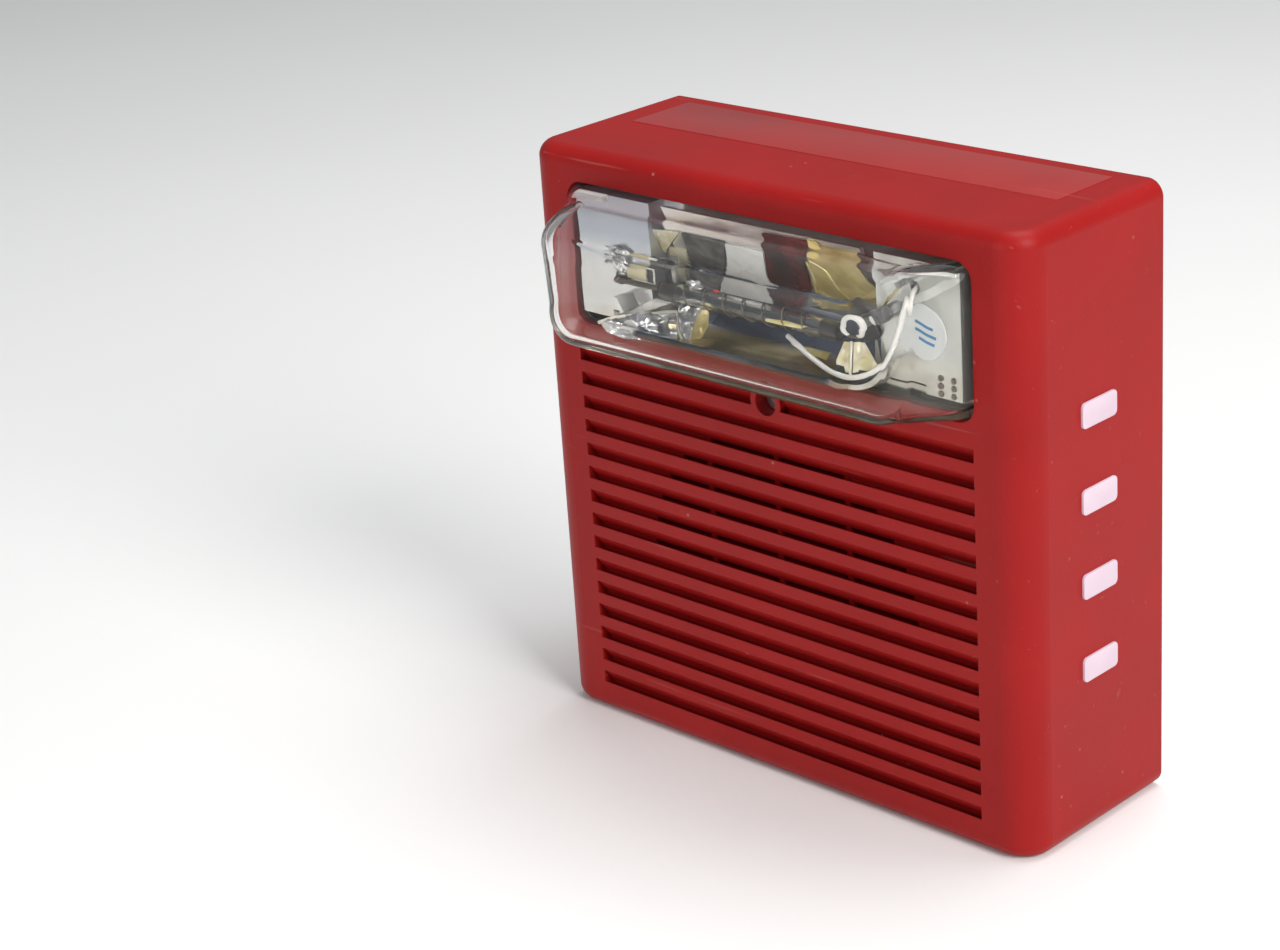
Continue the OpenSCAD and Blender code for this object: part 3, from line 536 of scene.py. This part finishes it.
for name, made, sheets, crumple in (
        ("roof_facets_cream", cream_painted_reflection, [
            [(-37.9, -48.8, 58.6), (-24.8, -49.5, 60.2), (-31.8, -46.7, 53.9), (-37.8, -43.7, 47.1),
                (-36.8, -46.3, 52.9), (-36.8, -48.0, 56.9)],
            [(-31.4, -46.7, 54.0), (-25.8, -46.8, 54.2), (-29.9, -42.9, 45.3), (-36.4, -42.4, 44.2)]], 0.25),
        ("roof_facets_grey", dark_painted_reflection, [
            [(-24.4, -49.4, 60.0), (-11.0, -49.4, 60.0), (-13.8, -46.5, 53.5), (-19.7, -42.7, 45.0),
                (-27.6, -43.3, 46.3), (-25.6, -46.8, 54.2)],
            [(29.3, -50.5, 62.5), (47.0, -50.6, 61.8), (41.7, -50.9, 58.2), (31.6, -47.4, 55.6)]], 0.3),
        ("roof_facet_silver", silver_painted_highlight, [
            [(-10.8, -49.2, 59.5), (0.9, -49.1, 59.4), (-2.1, -45.6, 51.4), (-2.8, -42.4, 44.2),
                (-19.4, -42.4, 44.2), (-13.4, -46.2, 52.6)]], 0.9),
        ("roof_facet_dark", maroon_painted_reflection, [
            [(1.4, -50.5, 62.4), (15.0, -50.7, 62.9), (13.0, -49.0, 58.8), (11.2, -45.2, 50.4),
                (3.9, -42.0, 43.3), (-2.2, -42.2, 43.7), (-1.7, -45.6, 51.3), (1.2, -49.0, 59.2)]], 0.2),
        ("roof_facets_gold", gold_painted_reflection, [
            [(15.4, -50.2, 61.8), (28.9, -50.4, 62.4), (31.4, -47.4, 55.6), (21.6, -44.2, 48.2),
                (13.2, -43.4, 46.4), (11.7, -44.7, 49.3), (13.6, -47.7, 56.2)],
            [(23.6, -45.1, 50.2), (31.7, -47.6, 55.6), (41.5, -50.9, 57.9), (37.0, -50.9, 53.5),
                (29.1, -45.5, 50.8)]], 0.3),
        ("bright_gold_corner", bright_gold_painted_reflection, [
            [(15.3, -50.9, 63.6), (16.9, -50.9, 63.3), (18.9, -50.4, 61.8), (17.1, -50.1, 60.9),
                (15.2, -50.2, 61.3)],
            [(13.1, -50.3, 39.0), (20.2, -50.0, 38.7), (19.2, -50.0, 37.2), (13.6, -50.3, 37.6)]], 0.1)):
    bm = bmesh.new()
    for k, sheet in enumerate(sheets):
        foil(bm, sheet, crumple=crumple, seed=k + len(name))
    new_piece(name, bm, "housing", made, smooth=35)


# ---- painted gold reflection streaks ----
# Two thin raised bright gold lines on the roof stand in for streaks of reflected light: painted reflections.
bm = bmesh.new()
for path in ([(13.7, -49.3, 59.2), (13.8, -47.1, 54.1), (11.9, -44.9, 49.3), (13.7, -44.7, 49.0),
    (13.4, -43.8, 46.6)],
             [(15.1, -49.6, 59.7), (18.7, -48.7, 57.7), (20.0, -46.5, 52.7), (21.9, -45.1, 49.6)]):
    tube_along(bm, smooth_route(path, 6), 0.28, sides=10)
new_piece("roof_gold_reflection_streaks", bm, "housing", bright_gold_painted_reflection, smooth=60)


# ---- left scoop ----
# The bright crumpled scoop below the tube's left end, with a pale rolled rim and a blade beside it; the dark sheet
# over the scoop's top and the blade's gold are painted reflections.
scoop = [(-42.6, -60.6, 36.9), (-38.7, -58.0, 38.4), (-31.3, -53.9, 39.8), (-25.6, -51.0, 40.6),
    (-24.3, -53.1, 36.5),
        (-22.9, -54.6, 33.9), (-26.0, -56.6, 33.7), (-30.2, -58.3, 33.8), (-35.7, -60.1, 34.1),
            (-40.1, -60.8, 35.0)]
cheek = [(-25.6, -51.0, 40.5), (-22.2, -48.3, 42.3), (-20.4, -48.3, 41.1), (-21.0, -51.1, 36.8),
    (-20.6, -53.4, 33.9), (-23.6, -52.8, 35.9)]
blade = [(-20.4, -53.4, 33.9), (-21.0, -51.1, 36.8), (-20.9, -48.5, 41.1), (-18.8, -47.6, 41.0),
    (-17.7, -49.0, 37.9), (-18.6, -51.4, 34.7)]
rim_white = plastic("pale_rim", (0.82, 0.80, 0.70), (0.70, 0.66, 0.52), (0.93, 0.92, 0.86), 0.3, scale=3.0,
    speck_amount=0.1)
scoop_silver = foil_metal("scoop_silver", (0.24, 0.25, 0.27), (1.0, 1.0, 0.98), 0.07, crumple=1.0, size=130,
    shine=0.6)
bm = bmesh.new()
foil(bm, scoop, cuts=4, crumple=3.4, thick=0.4, seed=3.1, grain=0.3)
foil(bm, cheek, cuts=4, crumple=1.8, thick=0.4, seed=7.7, grain=0.4)
new_piece("left_scoop", bm, "housing", scoop_silver, smooth=24)
# A dark sheet laid over the top of the scoop: painted dark reflection.
bm = bmesh.new()
foil(bm, [scoop[0], (-30.4, -53.1, 43.4), (-25.9, -52.4, 42.9), scoop[3], scoop[2], scoop[1]], cuts=4,
    crumple=0.4, thick=0.3, seed=1.3)
new_piece("left_scoop_dark_reflection_sheet", bm, "housing", dark_painted_reflection, smooth=30)
# The blade's gold colour is a painted reflection.
bm = bmesh.new()
foil(bm, blade, cuts=5, crumple=0.6, thick=0.4, seed=4.4)
new_piece("scoop_side_blade", bm, "housing", gold_painted_reflection, smooth=30)
bm = bmesh.new()
tube_along(bm, smooth_route([Vector(p) + Vector((0, -0.35, 0.1)) for p in scoop[:4]], 8), 0.42, sides=10)
tube_along(bm, smooth_route([Vector(p) + Vector((0, -0.35, 0)) for p in (cheek[0], cheek[5], cheek[4], cheek[3])],
    8), 0.32, sides=10)
new_piece("scoop_rim", bm, "housing", rim_white, smooth=60)


# ---- tube end fittings ----
# A crumpled tinned lug, a cream and a black insulating block hold the tube's left lead; the tube
# carries a blob of solder and a red bead where the trigger wire starts.
def lump(bm, centre, size, crumple, seed):
    made = bmesh.ops.create_icosphere(bm, subdivisions=4, radius=1.0)
    for v in made["verts"]:
        p = v.co.copy()
        k = 1 + crumple * lumps.noise(p * 1.6 + Vector((seed, 0, seed)))
        v.co = Vector((centre[0] + p.x * size[0] * k, centre[1] + p.y * size[1] * k,
            centre[2] + p.z * size[2] * k)) * MM


crumpled = foil_metal("crumpled_tin", (0.25, 0.25, 0.25), (0.98, 0.98, 0.96), 0.08, crumple=0.9, size=420,
    shine=0.8)
bm = bmesh.new()
lump(bm, (-44.4, -52.0, 50.2), (2.9, 1.1, 2.3), 0.9, 2.0)
lump(bm, (-41.8, -52.2, 47.6), (1.4, 0.9, 1.6), 0.8, 5.0)
lug = new_piece("crumpled_lug", bm, "housing", crumpled, smooth=30)
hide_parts("tube_lug")
bm = bmesh.new()
lump(bm, (-16.4, -54.6, 49.4), (1.9, 1.2, 1.3), 0.7, 1.0)
new_piece("solder_blob", bm, "housing", crumpled, smooth=40)
bm = bmesh.new()
lump(bm, (-9.8, -54.4, 49.2), (0.8, 0.5, 0.5), 0.3, 1.0)
new_piece("red_bead", bm, "housing", plastic("bead_red", (0.5, 0.02, 0.02), (0.35, 0.01, 0.01), (0.65, 0.05,
    0.04), 0.25, scale=4))


bm = bmesh.new()
soft_block(bm, (-39.6, -53.3, 46.6), (-33.0, -50.9, 50.2), 0.3)
new_piece("cream_block", bm, "housing", plastic("cream_plastic", (0.66, 0.58, 0.36), (0.52, 0.45, 0.27), (0.80,
    0.73, 0.50), 0.4, scale=3), smooth=30)
black = plastic("black_moulding", (0.022, 0.022, 0.024), (0.015, 0.015, 0.016), (0.035, 0.035, 0.037), 0.45)
bm = bmesh.new()
soft_block(bm, (-32.7, -53.4, 46.4), (-26.6, -50.9, 51.2), 0.3)
new_piece("black_block", bm, "housing", black, smooth=30)
bm = bmesh.new()
for low_p, high_p in (((-30.3, -53.75, 46.6), (-30.0, -53.4, 51.0)),
    ((-32.4, -53.75, 50.7), (-30.0, -53.4, 51.0)), ((-32.4, -53.75, 46.6), (-30.0, -53.4, 46.85))):
    bar(bm, low_p, high_p)
new_piece("block_edge_strip", bm, "housing", rim_white)


# ---- right end fittings ----
# A loop of the white trigger wire round the tube's right lead, two short sleeves behind it,
# and a fan-shaped mirror coloured in painted cream reflection, with two black sheets below that paint in the shade
# of two openings.
bm = bmesh.new()
loop = [Vector((31.9 + 2.35 * math.cos(math.radians(a)), -55.0 - 0.8 * math.sin(math.radians(a / 2)),
    49.0 + 2.1 * math.sin(math.radians(a)))) for a in range(-70, 250, 10)]
tube_along(bm, loop, 0.62, sides=16)
new_piece("wire_loop", bm, "housing", wire_white, smooth=60)
bm = bmesh.new()
axis_a, axis_b = Vector((31.5, -52.9, 48.8)), Vector((39.8, -52.9, 52.6))
for s0, s1, r in ((0.05, 0.30, 1.5), (0.32, 0.62, 1.95), (0.64, 0.95, 1.95)):
    pa, pb = axis_a.lerp(axis_b, s0), axis_a.lerp(axis_b, s1)
    tube_along(bm, [pa, pa.lerp(pb, 0.08), pa.lerp(pb, 0.92), pb], [r * 0.88, r, r, r * 0.88], sides=28)
new_piece("lead_sleeves", bm, "housing", plastic("sleeve_grey", (0.12, 0.12, 0.125), (0.06, 0.06, 0.065), (0.26,
    0.26, 0.26), 0.3, scale=3), smooth=40)
# Fan mirror: its cream tint is a painted reflection.
bm = bmesh.new()
foil(bm, [(27.9, -54.0, 44.2), (29.8, -53.2, 44.3), (31.6, -56.6, 38.3), (28.8, -57.4, 37.9),
    (27.6, -56.5, 40.2)], cuts=4, crumple=0.6, thick=0.3, seed=2.2)
foil(bm, [(29.9, -53.2, 44.3), (32.3, -52.4, 44.8), (37.2, -53.0, 39.2), (32.2, -56.5, 38.3)], cuts=4,
    crumple=0.6, thick=0.3, seed=5.2)
new_piece("fan_mirror", bm, "housing", cream_painted_reflection, smooth=30)
# Two black sheets: painted shade in the openings.
bm = bmesh.new()
foil(bm, [(28.8, -57.9, 37.5), (28.2, -57.0, 39.7), (29.8, -56.5, 39.3), (31.2, -57.4, 37.2)], cuts=3,
    crumple=0.0, thick=0.2)
foil(bm, [(33.4, -56.2, 37.6), (33.1, -55.5, 38.9), (35.7, -54.5, 38.6), (36.2, -54.6, 37.6)], cuts=3,
    crumple=0.0, thick=0.2)
new_piece("fan_opening_shade_sheets", bm, "housing", black)
bm = bmesh.new()
tube_along(bm, [Vector((29.7, -53.7, 44.6)), Vector((30.9, -55.6, 41.0)), Vector((32.0, -57.3, 37.2))], 0.3,
    sides=10)
new_piece("fan_edge", bm, "housing", rim_white, smooth=60)


# ---- round label ----
# A round printed film label with three plain blue lines, and six small stamped dots below it.
bm = bmesh.new()
made = bmesh.ops.create_cone(bm, cap_ends=True, segments=72, radius1=6.3 * MM, radius2=6.2 * MM, depth=0.2 * MM,
    matrix=Matrix.Translation(Vector((47.2, -50.85, 48.8)) * MM) @ Matrix.Rotation(math.radians(90), 4, "X"))
label = new_piece("round_label", bm, "housing",
    plastic("label_film", (0.74, 0.77, 0.76), (0.66, 0.70, 0.69), (0.82, 0.84, 0.83), 0.35, scale=2), smooth=40)
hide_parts("rating_label")
ink = plastic("blue_ink", (0.05, 0.22, 0.45), (0.04, 0.17, 0.36), (0.10, 0.32, 0.56), 0.4, scale=3)
bm = bmesh.new()
for across, up, half in ((-0.6, 1.7, 2.9), (0.2, 0.0, 3.3), (0.9, -1.7, 2.5)):
    made = bar(bm, (47.3 + across - half, -51.05, 48.8 + up - 0.32),
        (47.3 + across + half, -50.9, 48.8 + up + 0.32))
    bmesh.ops.rotate(bm, cent=Vector((47.3, -51, 48.8)) * MM, matrix=Matrix.Rotation(math.radians(12), 3, "Y"),
        verts=made)
new_piece("label_lines", bm, "housing", ink)
bm = bmesh.new()
for x in (51.6, 55.2):
    for z in (39.2, 37.4, 35.6):
        bmesh.ops.create_cone(bm, cap_ends=True, segments=20, radius1=0.75 * MM, radius2=0.65 * MM, depth=0.3 * MM,
                              matrix=Matrix.Translation(Vector((x, -50.85,
                                  z)) * MM) @ Matrix.Rotation(math.radians(90), 4, "X"))
new_piece("stamped_dots", bm, "housing", dark_metal, smooth=40)


# ---- painted reflection strips ----
# A bright gold strip along the front of the tube is a painted reflection; a raised silver line along the top edge
# of the right wing is a painted highlight.
# Gold strip on the tube's front: painted reflection.
bm = bmesh.new()
foil(bm, [(6.9, -56.4, 45.6), (7.0, -56.3, 46.4), (13.0, -56.2, 46.9), (19.5, -56.3, 46.9), (17.5, -56.4, 45.9),
    (12.0, -56.4, 45.6)], cuts=3, thick=0.5, lift=0.1)
new_piece("tube_gold_reflection_strip", bm, "housing", bright_gold_painted_reflection, smooth=40)
# Silver line on the right wing's top edge: painted highlight.
bm = bmesh.new()
tube_along(bm, smooth_route([(43.5, -51.1, 62.3), (48.0, -51.2, 62.9), (53.0, -51.2, 63.2), (57.0, -51.1, 63.3)],
    6), [0.25] * 4 + [0.6] * 11 + [0.45] * 4, sides=12)
new_piece("wing_highlight_line", bm, "housing", silver_painted_highlight, smooth=60)


# ---- lens locating tab ----
# A thin frosted tab moulded on the dome's upper wall near its left end.
bm = bmesh.new()
soft_block(bm, (-54.9, -54.6, 63.2), (-45.3, -52.6, 65.4), 0.35)
frost, t, b = material("frosted_polycarbonate", transmission=0.55, ior=1.2)
b.inputs["Base Color"].default_value = (0.93, 0.93, 0.93, 1)
t.links.new(span(t, wear_node(t, 3)["Blotch"], 0.3, 0.7, 0.25, 0.5), b.inputs["Roughness"])
new_piece("lens_tab", bm, "housing", frost, smooth=30)


# ---- screws ----
# Small zinc-plated steel screws hold the reflector, the boards, the sounder and the back cover.
steel = metal("zinc_steel", (0.50, 0.51, 0.52), (0.68, 0.68, 0.67), 0.32)
paint(["reflector_screws", "strobe_board_screws", "sounder_screws", "main_board_screws", "back_cover_screws",
    "cover_screw"], steel)
brass = metal("plated_brass", (0.62, 0.44, 0.17), (0.78, 0.60, 0.28), 0.28)
paint(["sounder_pins", "screw_insert", "terminal_screw_1", "terminal_screw_2", "terminal_screw_3",
    "terminal_screw_4"], brass)


# ---- sounder ----
# A black moulded horn and back round a thin brass diaphragm with a white ceramic disc on it.
paint(["sounder_horn", "sounder_back"], black)
paint(["diaphragm"], metal("spun_brass", (0.55, 0.40, 0.16), (0.74, 0.58, 0.28), 0.22, scale=0.6))
paint(["piezo_disc"], plastic("fired_ceramic", (0.78, 0.77, 0.72), (0.70, 0.68, 0.62), (0.85, 0.84, 0.80), 0.5,
    grain=0.1, scale=1.5))


# ---- circuit boards ----
# Glass-fibre boards in green solder resist; the copper tracks show through it as lighter lines.
def board_material(name, low, high, track):
    """Solder resist over copper: a fine maze of straight tracks and round pads under a glossy skin."""
    m, t, b = material(name)
    w = wear_node(t, 1.4)
    co = uv_free_coords(t)
    turned = t.nodes.new("ShaderNodeMapping")
    turned.inputs["Rotation"].default_value = (math.radians(90), 0, 0)
    t.links.new(co, turned.inputs["Vector"])
    maze = t.nodes.new("ShaderNodeTexBrick")
    maze.inputs["Scale"].default_value = 160
    maze.inputs["Mortar Size"].default_value = 0.055
    maze.inputs["Brick Width"].default_value = 1.4
    maze.inputs["Row Height"].default_value = 0.27
    t.links.new(turned.outputs["Vector"], maze.inputs["Vector"])
    lines = maths(t, "MULTIPLY", maze.outputs["Fac"], span(t, noise(t, co, 75, 2), 0.42, 0.48, 0, 1))
    pads = t.nodes.new("ShaderNodeTexVoronoi")
    pads.inputs["Scale"].default_value = 230
    t.links.new(co, pads.inputs["Vector"])
    dots = maths(t, "MULTIPLY", span(t, pads.outputs["Distance"], 0.16, 0.20, 1, 0),
        span(t, noise(t, co, 95, 2), 0.52, 0.56, 0, 1))
    colour = mix(t, span(t, w["Blotch"], 0.3, 0.7, 0, 1), low, high)
    colour = mix(t, lines, colour, track)
    colour = mix(t, dots, colour, (0.62, 0.62, 0.58))
    t.links.new(mix(t, maths(t, "MULTIPLY", w["Specks"], 0.3), colour, (0.5, 0.5, 0.4)), b.inputs["Base Color"])
    t.links.new(span(t, w["Blotch"], 0.3, 0.7, 0.22, 0.38), b.inputs["Roughness"])
    bump(t, b, maths(t, "ADD", lines, dots), 0.3, 0.0001)
    return m


board = board_material("solder_resist", (0.014, 0.10, 0.035), (0.03, 0.16, 0.06), (0.05, 0.26, 0.09))
paint(["strobe_board", "main_board"], board)


# ---- flash capacitor ----
# A tall electrolytic in a glossy black shrink sleeve.
can_mat, t, b = material("capacitor_sleeve")
w = wear_node(t, 1.5)
colour = mix(t, span(t, w["Blotch"], 0.3, 0.7, 0, 1), (0.018, 0.018, 0.022), (0.04, 0.04, 0.048))
colour = mix(t, maths(t, "MULTIPLY", w["Specks"], 0.3), colour, (0.5, 0.5, 0.5))
t.links.new(colour, b.inputs["Base Color"])
t.links.new(span(t, w["Blotch"], 0.3, 0.7, 0.2, 0.34), b.inputs["Roughness"])
bump(t, b, w["Grain"], 0.06, 0.0002)
paint(["flash_capacitor"], can_mat)


# ---- wound parts and small parts ----
# The trigger coil is taped in amber film, the choke is bare copper wire on ferrite;
# the small parts are coated resistors and film capacitors, the ribbon is grey.
tape = plastic("amber_tape", (0.52, 0.33, 0.05), (0.42, 0.25, 0.03), (0.64, 0.44, 0.10), 0.22, grain=0.04, scale=2)
paint(["trigger_coil"], tape)
copper, t, b = material("enamelled_copper", metallic=1.0)
w = wear_node(t, 2)
where = t.nodes.new("ShaderNodeSeparateXYZ")
t.links.new(uv_free_coords(t), where.inputs[0])
wraps = maths(t, "SINE", maths(t, "MULTIPLY", where.outputs["Y"], 14000.0), 0)
colour = mix(t, span(t, w["Blotch"], 0.3, 0.7, 0, 1), (0.45, 0.16, 0.06), (0.72, 0.32, 0.13))
t.links.new(mix(t, span(t, wraps, -1, -0.5, 0.7, 0), colour, (0.10, 0.03, 0.01)), b.inputs["Base Color"])
t.links.new(span(t, w["Blotch"], 0.3, 0.7, 0.2, 0.35), b.inputs["Roughness"])
bump(t, b, wraps, 0.5, 0.0002)
paint(["inverter_choke"], copper)
paint(["small_parts"], plastic("coated_parts", (0.50, 0.36, 0.18), (0.36, 0.22, 0.10), (0.64, 0.52, 0.32), 0.35,
    scale=3))
paint(["board_ribbon"], plastic("ribbon_grey", (0.42, 0.42, 0.43), (0.36, 0.36, 0.37), (0.50, 0.50, 0.51), 0.45,
    scale=2))
paint(["board_capacitors"], plastic("blue_sleeve", (0.03, 0.05, 0.20), (0.02, 0.035, 0.15), (0.05, 0.07, 0.26),
    0.3, scale=2))
paint(["switching_transistor", "controller_chip"],
    plastic("moulded_package", (0.03, 0.03, 0.032), (0.022, 0.022, 0.024), (0.045, 0.045, 0.048), 0.5, grain=0.15,
    scale=3))


# ---- terminals and setting switch ----
# A green polyamide terminal block with brass screws, and a red slide switch with four white levers.
paint(["terminal_block"], plastic("terminal_green", (0.03, 0.20, 0.09), (0.02, 0.15, 0.06), (0.05, 0.26, 0.12),
    0.4, scale=1.6))
paint(["switch_body"], plastic("switch_red", (0.40, 0.02, 0.02), (0.30, 0.015, 0.015), (0.5, 0.03, 0.03), 0.35,
    scale=2))
lever_mat = plastic("lever_white", (0.80, 0.79, 0.75), (0.72, 0.70, 0.65), (0.86, 0.85, 0.82), 0.38, scale=4,
    speck_amount=0.2)
paint(["switch_lever_1", "switch_lever_2", "switch_lever_3", "switch_lever_4"], lever_mat)


# ---- back cover and wall plate ----
# A black moulded cover closes the housing; the grey wall plate behind it carries a foam seal.
paint(["back_cover"], plastic("back_black", (0.028, 0.028, 0.030), (0.020, 0.020, 0.021), (0.042, 0.042, 0.045),
    0.5, grain=0.25))
paint(["wall_plate"], plastic("plate_grey", (0.075, 0.075, 0.08), (0.055, 0.055, 0.06), (0.10, 0.10, 0.105), 0.5,
    grain=0.25, specks=(0.4, 0.4, 0.4)))
paint(["plate_seal"], plastic("foam_grey", (0.16, 0.16, 0.165), (0.11, 0.11, 0.115), (0.22, 0.22, 0.225), 0.85,
    grain=0.9, scale=0.6))


# ---- camera, floor and light ----
cam_data = bpy.data.cameras.new("camera")
cam_data.sensor_width = 36
cam_data.lens = 80.854
cam = bpy.data.objects.new("camera", cam_data)
bpy.context.scene.collection.objects.link(cam)
right, down, ahead = Vector((0.71807, 0.693044, -0.063761)), Vector((0.214177, -0.307218,
    -0.927225)), Vector((-0.662196, 0.652156, -0.369038))
rot = Matrix((right, -down, -ahead)).transposed()
cam.matrix_world = Matrix.Translation((0.42223, -0.50889, 0.25385)) @ rot.to_4x4()
bpy.context.scene.camera = cam

floor_z = -0.0745
bm = bmesh.new()
bmesh.ops.create_circle(bm, cap_ends=True, segments=96, radius=1.25)
bmesh.ops.translate(bm, vec=(0, 0, floor_z), verts=bm.verts)
floor_mesh = bpy.data.meshes.new("floor")
bm.to_mesh(floor_mesh)
bm.free()
floor = bpy.data.objects.new("floor", floor_mesh)
bpy.context.scene.collection.objects.link(floor)
floor_mat, t, b = material("pale_floor")
t.links.new(mix(t, noise(t, uv_free_coords(t), 6, 3), (0.86, 0.86, 0.85), (0.89, 0.89, 0.885)),
    b.inputs["Base Color"])
b.inputs["Roughness"].default_value = 0.75
floor_mesh.materials.append(floor_mat)


def area_light(name, where, size, power, colour=(1, 1, 1), aim=(0, -0.03, 0.0)):
    d = bpy.data.lights.new(name, "AREA")
    d.shape = "RECTANGLE"
    d.size, d.size_y = size
    d.energy = power
    d.color = colour
    o = bpy.data.objects.new(name, d)
    o.location = where
    o.rotation_mode = "QUATERNION"
    o.rotation_quaternion = (Vector(aim) - Vector(where)).to_track_quat("-Z", "Y")
    bpy.context.scene.collection.objects.link(o)
    return o


area_light("key", (1.1, -0.25, 0.75), (0.55, 0.75), 15.5, (1, 0.985, 0.97))
area_light("front", (-0.22, -1.3, 0.36), (0.8, 0.6), 4.8, (0.97, 0.985, 1))
area_light("top", (0.1, 0.25, 1.15), (0.9, 0.7), 9.5)
world = bpy.data.worlds.new("world")
world.use_nodes = True
world.node_tree.nodes["Background"].inputs[0].default_value = (0.95, 0.97, 1.0, 1)
seen_directly = world.node_tree.nodes.new("ShaderNodeLightPath").outputs["Is Camera Ray"]
world.node_tree.links.new(span(world.node_tree, seen_directly, 0, 1, 0.27, 0.95),
    world.node_tree.nodes["Background"].inputs[1])
bpy.context.scene.world = world
bpy.context.scene.view_settings.view_transform = "Standard"
